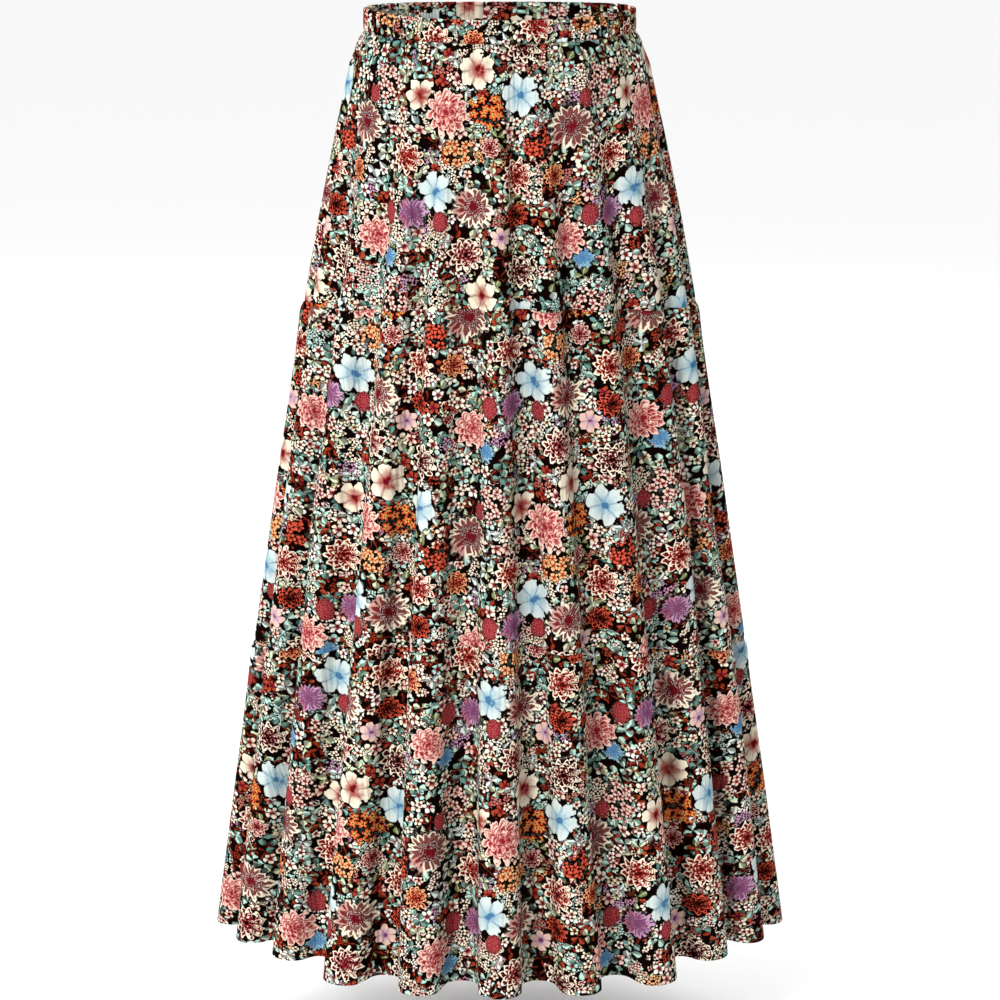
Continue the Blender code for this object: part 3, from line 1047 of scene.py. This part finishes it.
GREENS = (MINT, TEAL, SAGE, PALE, MINT, OLIVE, MINT)
BROWNS = (MAROON, RUST, MAROON, BRICK, MAROON)
PATCH_SIZE = 17
patches = {"Vector": pushed(16), "Scale": 1 / PATCH_SIZE, "Randomness": 1.0}
patch = cloth.node("ShaderNodeTexVoronoi", {"voronoi_dimensions": "2D"}, patches, 1)
grows, patch_tint, patch_heart = cloth.parts(patch)
colour = leaves(GROUND, size=15, count=3, plump=0.78, share=0.85, tints=GREENS, vein=SAGE, shift=37)
colour = leaves(colour, size=15, count=4, plump=0.75, share=0.95, tints=BROWNS, vein=BRICK, shift=0,
                where=grows > 0.6)
print("nodes with two layers of leaves:", len(cloth.tree.nodes))

# %% [markdown]
# Small flowers are drawn the same way as the leaves, only fuller, and with a heart and an eye. Working out
# their outlines is the costly part, so each size is worked out once, as a field in which flowers
# could grow, and later cells dye some of them. The posies use one of the fields again.

# %% Blossoms
PETAL_REACH = 0.54
Field = namedtuple("Field", "ratio flower chances")


def field_of(size, count, shift):
    """Where small flowers could grow: how far out in one a place lies, its cover, and its chances."""
    away, reach, chances = cells(size, 0.7, shift)
    side = petals(turn_of(away) + chances[0], count)
    ratio = reach * (1 / PETAL_REACH)
    return Field(ratio, cloth.soft_step(pointed(ratio, side, 1.0), 0.1, 0.35), chances)


def blossoms(field, colour, share, tints, heart, eye, where=None, shadow=GROUND):
    """Small flowers of pointed petals round an eye, on a dark shadow a little larger than they are."""
    tint = chosen(evenly(tints), field.chances[2]) if isinstance(tints, tuple) else tints
    flower = cloth.paint(cloth.soft_step(field.ratio, 0.62, 0.2), tint, heart)
    flower = cloth.paint(field.flower, shadow, flower)
    flower = cloth.paint(cloth.soft_step(field.ratio, 0.28, 0.18), flower, eye)
    amount = cloth.soft_step(field.ratio, 1.12, 1.02) * (field.chances[1] < share)
    if where is not None:
        amount = amount * where
    return cloth.paint(amount, colour, flower)


tiny_field = field_of(size=5.1, count=4, shift=11)
small_field = field_of(size=8.3, count=5, shift=77)
larger_field = field_of(size=12, count=5, shift=53)
print("nodes with three fields of small flowers:", len(cloth.tree.nodes))

# %% [markdown]
# Florets grow in clusters of one colour, as lilac or hydrangea does, so all the florets of a patch share
# its dye. Larger blossoms and a last layer of leaves then lie over them, each with its own dark
# shadow, which keeps a busy print readable.

# %% Florets, blossoms and more leaves
# From which chance number on a patch's florets get which dye.
FLORET_TINTS = (
    (0.00, CREAM), (0.14, BLUSH), (0.24, WHITE), (0.35, RUST), (0.47, LILAC),
    (0.53, MINT), (0.63, DUSK), (0.74, CREAM), (0.85, BRICK), (0.94, APRICOT),
)
FLORET_HEARTS = evenly((RASPBERRY, RUST, MAROON, BURGUNDY))
tint, heart = chosen(FLORET_TINTS, patch_tint), chosen(FLORET_HEARTS, patch_heart)
shadow = cloth.paint(patch_heart * 0.5, GROUND, MAROON)
colour = blossoms(tiny_field, colour, share=0.84, tints=tint, heart=heart, eye=MAROON,
                  where=grows < 0.42, shadow=shadow)
mixed = (CREAM, WHITE, MINT, CREAM, BRICK, BLUSH)
colour = blossoms(larger_field, colour, share=0.29, tints=mixed, heart=RASPBERRY, eye=BURGUNDY)
palest = (MINT, TEAL, SAGE, PALE)
colour = leaves(colour, size=13, count=3, plump=0.8, share=0.36, tints=palest, vein=OLIVE, shift=71)
pales = (CREAM, WHITE, CREAM, BLUSH, SAGE, CREAM)
colour = blossoms(small_field, colour, share=0.17, tints=pales, heart=SCARLET, eye=MAROON)
print("nodes with the small motifs:", len(cloth.tree.nodes))

# %% [markdown]
# ## Big flowers from a chart
# A printed cloth is made with a roller or a screen, so its big flowers come back at a fixed distance: the
# repeat, here 210 mm both ways. We set them out in charts, one row a flower, with its middle, its
# width and height in millimetres, a number of its own, and a light, a middle and a dark dye. Nodes
# for each flower would take thousands. Instead each place on the cloth looks up which row it
# lies in, and one drawing of each kind serves all its rows. The repeat is a Wrap, which folds
# every place back into one tile of the print. Two flowers of one kind would cut into each
# other where they overlap, so rows of one chart keep clear of each other, and the kinds are laid
# over one another instead.

# %% Charts
REPEAT = (210.0, 210.0)
# Columns: x, y, wide, high (mm), how pointed the petals are, light, middle and dark dyes.
RUFFLED = (
    (107.0, 86.0, 42, 45, 7, BLUSH, DUSK, RASPBERRY),
    (22.0, 205.0, 37, 38, 7, BLUSH, DUSK, RASPBERRY),
    (65.0, 128.0, 36, 34, 3, CREAM, SCARLET, MAROON),
    (121.0, 8.0, 36, 36, 3, CREAM, RASPBERRY, GROUND),
    (180.0, 24.0, 34, 33, 4, CREAM, BURGUNDY, GROUND),
    (176.0, 145.0, 35, 34, 4, CREAM, SCARLET, MAROON),
    (176.0, 181.0, 26, 22, 4, CORAL, MAROON, GROUND),
    (4.0, 144.0, 24, 23, 5, APRICOT, SCARLET, MAROON),
    (148.0, 117.0, 21, 20, 6, BLUSH, RASPBERRY, MAROON),
)
# In the rayed and the broad chart, the fifth column is the flower's turn. In the last two it does nothing,
# and all berries share their dyes, so their chart has none.
RAYED = (
    (18.0, 99.0, 52, 50, 0, MINT, CREAM, BURGUNDY),
    (131.0, 174.0, 47, 45, 7, WHITE, CREAM, BURGUNDY),
    (68.0, 180.0, 32, 33, 4, LILAC, LILAC, PLUM),
    (38.0, 12.0, 24, 23, 1, SKY, SKY, BLUE),
)
BROAD = (
    (137.0, 46.0, 37, 38, 1, CREAM, SCARLET, BURGUNDY),
    (82.0, 71.0, 34, 33, 5, CREAM, SCARLET, BURGUNDY),
    (177.0, 69.0, 37, 42, 3, PALE, SKY, BLUE),
    (94.0, 160.0, 40, 40, 8, PALE, SKY, BLUE),
    (158.0, 200.0, 22, 22, 6, BLUSH, LILAC, PLUM),
)
BERRIES = (
    (43.0, 181.0, 17, 23, 0),
    (98.0, 187.0, 15, 20, 0),
    (30.0, 72.0, 14, 18, 0),
)
POSIES = (
    (146.0, 84.0, 40, 32, 0, ORANGE, YELLOW, RUST),
    (117.0, 123.0, 32, 26, 0, APRICOT, ORANGE, RUST),
    (45.0, 62.0, 30, 40, 0, BLUSH, RASPBERRY, BURGUNDY),
    (196.0, 115.0, 30, 28, 0, CORAL, RUST, MAROON),
)
print("big motifs in a repeat:", sum(len(chart) for chart in (RUFFLED, RAYED, BROAD, BERRIES, POSIES)))


# %% Reading a chart
# A motif owns the places nearer than this share of its width, a little more than half for ragged edges.
OWN_SHARE = 0.56
# A reach beyond every rim, for places that no motif owns.
FAR = 9


def ramp_of(row, values):
    """The value of a row, from a ramp with one flat stop for each row."""
    stops = [(max(0.0, (number - 0.5) / len(values)), value) for number, value in enumerate(values)]
    return chosen(stops, row * (1 / len(values)))


def motif_at(chart):
    """The chart's motif round a place: the way from its middle, its reach (1 at the rim), row and turn."""
    half_wide, half_high = REPEAT[0] / 2, REPEAT[1] / 2
    row = 0.0
    for number, motif in enumerate(chart, start=1):
        x, y, wide, high = motif[:4]
        most, least = (x + half_wide, y + half_high, 1), (x - half_wide, y - half_high, -1)
        wrapped = cloth.vector("WRAP", painted, most, least)
        near = cloth.vector("DISTANCE", wrapped, (x, y, 0), output=1) < OWN_SHARE * max(wide, high)
        row = near.times_plus(number, row)
    # A ramp is made for colours, which run from 0 to 1, so all that it holds is brought near that.
    centres = [(0, 0, 0, 1)] + [(motif[0] / REPEAT[0], motif[1] / REPEAT[1], 0, 1) for motif in chart]
    scales = [(0, 0, 0, 1)] + [(10 / motif[2], 10 / motif[3], motif[4] / 10, 1) for motif in chart]
    scale = ramp_of(row, scales)
    away = cloth.vector("MULTIPLY_ADD", ramp_of(row, centres), (-REPEAT[0], -REPEAT[1], 0), painted)
    wrapped = cloth.vector("WRAP", away, (half_wide, half_high, 1), (-half_wide, -half_high, -1))
    local = cloth.vector("MULTIPLY", wrapped, cloth.vector("MULTIPLY", scale, (0.2, 0.2, 0)))
    reach = cloth.vector("LENGTH", local, output=1) + (row < 0.5) * FAR
    return local, reach, row, cloth.parts(scale)[2]


def dyes_of(row, chart):
    """The light, middle and dark dyes of the motif's row."""
    return [ramp_of(row, [GROUND] + [motif[column] for motif in chart]) for column in (5, 6, 7)]


def between_petals(turn, count, phase):
    """0 on the middle of a petal and 1 between two."""
    return turn.times_plus(2 * count, phase).maths("PINGPONG", 1)


print(f"a tile of the print is {REPEAT[0]:.0f} by {REPEAT[1]:.0f} mm")

# %% [markdown]
# Posies are tight bunches of one small flower. They need no drawing of their own: inside the bunch's
# outline, every small flower of the field blooms, in the bunch's dyes and on a dark shadow. The
# outline is very ragged, because it runs between flowers.

# %% Posies
EVERY_FLOWER = 1.1
_, reach, row, _ = motif_at(POSIES)
reach = ragged.times_plus(2.2, reach)
tint, heart, eye = dyes_of(row, POSIES)
colour = cloth.paint(cloth.soft_step(reach, 1.0, 0.92) * 0.9, colour, GROUND)
colour = blossoms(small_field, colour, EVERY_FLOWER, tint, heart, eye, where=reach < 0.97)
print("nodes with the posies:", len(cloth.tree.nodes))

# %% [markdown]
# Broad flowers, like a mallow or an anemone, have six wide petals, pale at the rim and strong in the
# throat. The rim is a circle with a shallow notch between each two petals, and the dark dye runs out
# of the eye along the notches. The whole flower covers all but a hint of what lies under it.

# %% Broad flowers
BROAD_PETALS = 6
BROAD_COVER = 0.88
local, reach, row, lean = motif_at(BROAD)
reach = reach + ragged
turn = turn_of(local) + lean
between = between_petals(turn, BROAD_PETALS, 0.0)
rim = (between * between).times_plus(-0.3, 0.98)
edge, throat, eye = dyes_of(row, BROAD)
colour = cloth.paint(cloth.soft_step(reach, 1.02, 0.98), colour, GROUND)
flower = cloth.paint(cloth.soft_step(reach, 0.75, 0.1), edge, throat)
flower = cloth.paint(cloth.soft_step(between, 0.7, 1.0) * 0.6, flower, eye)
flower = cloth.paint(cloth.soft_step(reach, 0.22, 0.12), flower, eye)
colour = cloth.paint(cloth.soft_step(rim - reach, 0, 0.03) * BROAD_COVER, colour, flower)
print("nodes with the broad flowers:", len(cloth.tree.nodes))

# %% [markdown]
# Rayed flowers, like a dahlia or a passion flower, have two whorls of narrow pointed petals. Real ones
# are never equally long, so a chance number for each petal shortens some. A dark streak runs up every
# petal from a seeded disc, and the petals on one side are blushed, as if another flower coloured them.

# %% Rayed flowers
RAYS = 9
BACK_LENGTH = 0.86
local, reach, row, lean = motif_at(RAYED)
reach = reach + ragged
turn = turn_of(local) + lean
petal = (turn * RAYS).maths("FLOOR")
chance = cloth.node("ShaderNodeTexWhiteNoise", {"noise_dimensions": "1D"}, {"W": petal})
length = chance.times_plus(0.26, 0.78)
between = abs(petals(turn, RAYS))
behind = 1 - between
front_taper = ((length - reach) * 2.2).at_least(0.0) ** 0.7
back_taper = ((BACK_LENGTH - reach) * 2.4).at_least(0.0) ** 0.7
front = cloth.soft_step(front_taper - between, 0, 0.25)
back = cloth.soft_step(back_taper - behind, 0, 0.25)
streak = cloth.soft_step(cloth.mix(front, behind, between).times_plus(0.45, reach), 0.82, 0.7)
gap = cloth.soft_step(between, 0.72, 0.95) * front
cover = front.at_least(back)
print("petals of a rayed flower:", 2 * RAYS)

# %% Dyeing the rayed flowers
SEED_SPACING = 1.5
tip, base, heart = dyes_of(row, RAYED)
colour = cloth.paint(cloth.soft_step(reach, 1.0, 0.9) * 0.9, colour, GROUND)
flower = cloth.paint(cloth.soft_step(reach, 0.95, 0.75), tip, base)
left_side = cloth.soft_step(cloth.parts(local)[0], -0.15, -0.3) * (chance > 0.55)
flower = cloth.paint(left_side * cloth.soft_step(reach, 0.9, 0.8) * 0.7, flower, ROSE)
flower = cloth.paint(streak * 0.95, flower, heart)
flower = cloth.paint(gap * 0.7, flower, GROUND)
disc = cloth.soft_step(reach, 0.43, 0.39)
seeds = cloth.soft_step(cells(SEED_SPACING, 0.8, 3)[1], 0.34, 0.2)
seeded = cloth.paint(seeds * cloth.soft_step(reach, 0.1, 0.36) * 0.7, heart, tip)
flower = cloth.paint(disc, flower, seeded)
colour = cloth.paint(cover.at_least(disc), colour, flower)
print("nodes with the rayed flowers:", len(cloth.tree.nodes))

# %% [markdown]
# Ruffled flowers, like a peony or a rose, are whorls of petals that overlap inwards. We draw five rings
# from the outside in. Each covers the one before, is light at its rim, and darkens towards the
# next ring, which is what makes a flat print look deep. One number a flower makes petals round or pointed.

# %% Ruffled flowers
# Each ring's radius, its number of petals, and how far it is turned.
WHORLS = ((1.0, 11, 0.0), (0.8, 10, 0.7), (0.6, 8, 0.2), (0.42, 7, 0.9), (0.24, 5, 0.4))
local, reach, row, roundness = motif_at(RUFFLED)
reach = reach + ragged
turn = turn_of(local) + roundness
sharpness = roundness * 3.4
cover = None
for radius, count, phase in WHORLS:
    between = between_petals(turn, count, phase)
    depth = (between ** sharpness).times_plus(-0.26 * radius, radius) - reach
    inside = cloth.soft_step(depth, 0, 0.025)
    shade = cloth.soft_step(depth, 0.02, 0.22) * 0.95
    ring_tone = (between * between).times_plus(0.45, shade)
    if cover is None:
        cover, tone = inside, ring_tone
    else:
        tone = cloth.mix(inside, tone, ring_tone)
print("petals of a ruffled flower:", sum(count for _, count, _ in WHORLS))

# %% Dyeing the ruffled flowers
rim, body, heart = dyes_of(row, RUFFLED)
colour = cloth.paint(cloth.soft_step(reach, 1.04, 1.0), colour, GROUND)
tone = reach.times_plus(-0.75, tone + 0.4)
flower = cloth.paint(cloth.soft_step(tone, 0.1, 0.45), rim, body)
flower = cloth.paint(cloth.soft_step(tone, 0.5, 0.95), flower, heart)
colour = cloth.paint(cover, colour, flower)
print("nodes with the ruffled flowers:", len(cloth.tree.nodes))

# %% [markdown]
# A few ripe berries peep out between the flowers. A berry is an oval with a dark rim, dotted with the
# same scatter of seeds that the rayed flowers carry, so it costs only a few nodes more.

# %% Berries
_, reach, _, _ = motif_at(BERRIES)
reach = ragged.times_plus(0.5, reach)
berry = cloth.paint(cloth.soft_step(reach, 0.5, 1.0) * 0.7, RASPBERRY, MAROON)
berry = cloth.paint(seeds * 0.6, berry, DUSK)
colour = cloth.paint(cloth.soft_step(reach, 1.0, 0.94), colour, berry)
print("nodes with the whole print:", len(cloth.tree.nodes))

# %% [markdown]
# ## The cloth itself
# The cloth is a light plain weave with a soft crinkle: fine puckers that run down it, 3 to 4 mm apart.
# They are too fine to model and too small to cast shadows, so a noise stretched lengthwise tilts the
# surface through a Bump node. The weave itself has three threads a millimetre, each over one and under
# the next, so its high and low places lie like a draughtboard's squares. It only counts close up. The
# dye lies in the threads, so the cloth is matt, with just a breath of sheen on the puckers' tops.

# %% Crinkle and weave
CRINKLE_STRETCH = (0.28, 0.016, 0)
CRINKLE_HEIGHT = 0.0018
WEAVE_PITCH = 1 / 3
WEAVE_SHARE = 0.02

puckers = {"Vector": cloth.vector("MULTIPLY", place, CRINKLE_STRETCH), "Scale": 1.0, "Detail": 1.0}
crinkle = cloth.node("ShaderNodeTexNoise", {"noise_dimensions": "2D"}, puckers)
weave = cloth.node("ShaderNodeTexChecker", None, {"Vector": place, "Scale": 1 / WEAVE_PITCH}, 1)
height = weave.times_plus(WEAVE_SHARE, crinkle)
relief = {"Strength": 1.0, "Distance": CRINKLE_HEIGHT, "Height": height}
bumped = cloth.node("ShaderNodeBump", None, relief)
print(f"the weave stands {WEAVE_SHARE * CRINKLE_HEIGHT * 1e6:.0f} thousandths of a millimetre high")

# %% [markdown]
# A print doesn't go right through the cloth: seen from inside, between the folds, it is a duller copy of
# itself. Each shell carries an attribute, `reverse`, that is 1 on its inner face. The waistband is a
# folded strip, so its inner face shows the good side too.

# %% Reverse and finish
REVERSE_FADE = 0.35
REVERSE_TINT = (0.35, 0.29, 0.27, 1.0)

reverse = cloth.node("ShaderNodeAttribute", {"attribute_name": "reverse"}, (), 2)
colour = cloth.paint(reverse * REVERSE_FADE, colour, REVERSE_TINT)
rough = crinkle.times_plus(-0.3, 1.0)
surface = {"Base Color": colour, "Roughness": rough, "Specular IOR Level": 0.012, "Normal": bumped}
cloth.join(cloth.surface, surface)
for shell in shells.values():
    shell.data.materials.append(cloth.material)
print("nodes in the cloth's material:", len(cloth.tree.nodes))

# %% [markdown]
# ## Sewing the hem
# The hem is turned up 10 mm and stitched near the turn's upper edge with a dark thread, which sinks into
# the cloth at each hole. We model each stitch as a small tapered capsule that follows the folds, where
# a painted line would vanish in a close view. From a few metres away one sees only that the hem's
# edge is crisp, but close up it is what tells sewn cloth from a bent sheet. The tiers' seams are
# sewn from inside, so nothing of their thread shows.

# %% Sizes of a stitch
STITCH_ABOVE_HEM = 0.0088
STITCH_PITCH = 0.0030
STITCH_LENGTH = 0.0023
THREAD_RADIUS = 0.00022
# Along a stitch from -1 to 1, and how thick the thread is there.
STITCH_RINGS = np.array(((-1.0, 0.25), (-0.72, 0.8), (0.0, 1.0), (0.72, 0.8), (1.0, 0.25)))
STITCH_SIDES = 5
# How far its middle rises over its ends, and how deep those sink, in radii of the thread.
STITCH_BOW = 0.9
STITCH_SINK = 0.4
# How finely the hem is measured, and how near the side seams, a quarter of a round away, it is sewn.
HEM_POINTS = 6000
SEWN_SHARE = 0.2497
print(f"{1 / STITCH_PITCH / 100:.1f} stitches a centimetre")


# %% Where the stitches lie
def stitch_line(middle):
    """Middles and directions of the stitches on one half's outer face, and the way out of the cloth."""
    ring = RINGS[-1]
    shares = middle + np.linspace(-SEWN_SHARE, SEWN_SHARE, HEM_POINTS)
    top, bottom = edge_drop(ring.top, shares), edge_drop(ring.bottom, shares)
    drop = bottom - STITCH_ABOVE_HEM
    x, y, _ = skirt_plan(shares, drop, shell_lift(ring, shares, drop, top, bottom))
    line = np.stack((x, y, BAND_HEIGHT / 2 - drop), -1)
    lengths = np.concatenate(([0.0], np.cumsum(np.linalg.norm(np.diff(line, axis=0), axis=1))))
    starts = np.arange(0.5, int(lengths[-1] / STITCH_PITCH)) * STITCH_PITCH

    def point_at(length):
        return np.stack([np.interp(length, lengths, column) for column in line.T], -1)

    middles = point_at(starts)
    along = point_at(starts + STITCH_LENGTH / 2) - point_at(starts - STITCH_LENGTH / 2)
    along /= np.linalg.norm(along, axis=1)[:, None]
    outward = np.stack((along[:, 1], -along[:, 0], np.zeros(len(along))), -1)
    outward /= np.linalg.norm(outward, axis=1)[:, None]
    return middles, along, outward


middles, along, outward = stitch_line(0.0)
print(len(middles), "stitches along the front of the hem")


# %% Stitches
def capsule_faces(rings):
    """Faces round one stitch, its points numbered along each of its sides, and a cap on each end."""
    first_ring = np.arange(STITCH_SIDES) * rings
    return grid_quads(STITCH_SIDES, rings) + [first_ring[::-1].tolist(), (first_ring + rings - 1).tolist()]


def make_stitches(half, middle):
    middles, along, outward = stitch_line(middle)
    upright = np.cross(along, outward)
    angles = np.linspace(0, math.tau, STITCH_SIDES, endpoint=False)[:, None]
    ends, sizes = STITCH_RINGS.T[:, :, None]
    # A stitch bows: its middle lies on the cloth, and its ends sink into the needle's holes.
    rise = (1 - ends**2) * STITCH_BOW - STITCH_SINK
    centres = (middles[:, None] + along[:, None] * ends * STITCH_LENGTH / 2
               + outward[:, None] * rise * THREAD_RADIUS)
    around = (outward[:, None] * np.cos(angles) + upright[:, None] * np.sin(angles)) * THREAD_RADIUS
    points = (centres[:, None] + around[:, :, None] * sizes).reshape(-1, 3)
    each = len(points) // len(middles)
    capsule = capsule_faces(len(ends))
    faces = [[corner + each * number for corner in face]
             for number in range(len(middles)) for face in capsule]
    mesh = bpy.data.meshes.new(f"hem_stitches_{half}")
    mesh.from_pydata(points.tolist(), [], faces)
    mesh.shade_smooth()
    stitches = bpy.data.objects.new(mesh.name, mesh)
    scene.collection.objects.link(stitches)
    return stitches


stitching = {half: make_stitches(half, middle) for half, middle in HALVES}
for row in stitching.values():
    print(row.name, sum(len(face.vertices) - 2 for face in row.data.polygons), "triangles")

# %% [markdown]
# Sewing thread is two or three strands twisted together. They are a tenth of a millimetre thick, too fine
# to model for thousands of stitches. Slanting bands, worked out from the place along and across the
# hem, tilt the surface instead, and painted shade darkens the colour a little in the grooves between the
# strands.

# %% Thread
HALF_BANDS_A_METRE = 1900
thread = Finish("dark_thread")
where = thread.node("ShaderNodeTexCoord", None, (), 3)
x, y, z = thread.parts(where)
strand_relief_and_shade = ((x + y + z) * HALF_BANDS_A_METRE).maths("PINGPONG", 1)
lint = thread.node("ShaderNodeTexNoise", None, {"Vector": where, "Scale": 900.0, "Detail": 1.0})
# The thread's colour is painted shade, darker in the low grooves between the strands, mixed with a random
# lint tone.
tint = thread.paint(strand_relief_and_shade * 0.6 + lint * 0.4, dye(14, 9, 11), dye(46, 32, 36))
bumped = thread.node("ShaderNodeBump", None, {"Strength": 0.6, "Distance": 0.0001, "Height": strand_relief_and_shade})
surface = {"Base Color": tint, "Roughness": strand_relief_and_shade.times_plus(-0.15, 0.8), "Normal": bumped}
thread.join(thread.surface, surface)
for row in stitching.values():
    row.data.materials.append(thread.material)
print("nodes in the thread:", len(thread.tree.nodes))

# %% [markdown]
# ## Telling the frame about the pieces
# Every shell rides on the skirt's one body and stands for the plain solid of the same cut piece.
# Each cut's size is listed as well: the part that shows, without the turnings. The tiers are cut flared,
# narrower at the top, so their true area is listed beside the widest width.

# %% Flat sizes of the cut pieces
# Width, length (m) and area (square metres, None for a plain rectangle) of half a round of each.
FLAT_SIZES = {
    "waistband": (0.48, 0.026, None),
    "upper_tier": (0.65, 0.265, 0.148),
    "middle_tier": (0.96, 0.345, 0.290),
    "lower_tier": (1.30, 0.31, 0.364),
}
full = FLAT_SIZES["lower_tier"][0] * 2
print(f"round the hem, the cloth was cut {full:.1f} m wide")

# %% Bodies and solids
for (name, half), shell in shells.items():
    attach(shell, "root")
    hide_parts(f"{name}_{half}")
    width, length, area = FLAT_SIZES[name]
for row in stitching.values():
    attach(row, "root")
print(len(shells), "shells and", len(stitching), "rows of stitches ride on the skirt")
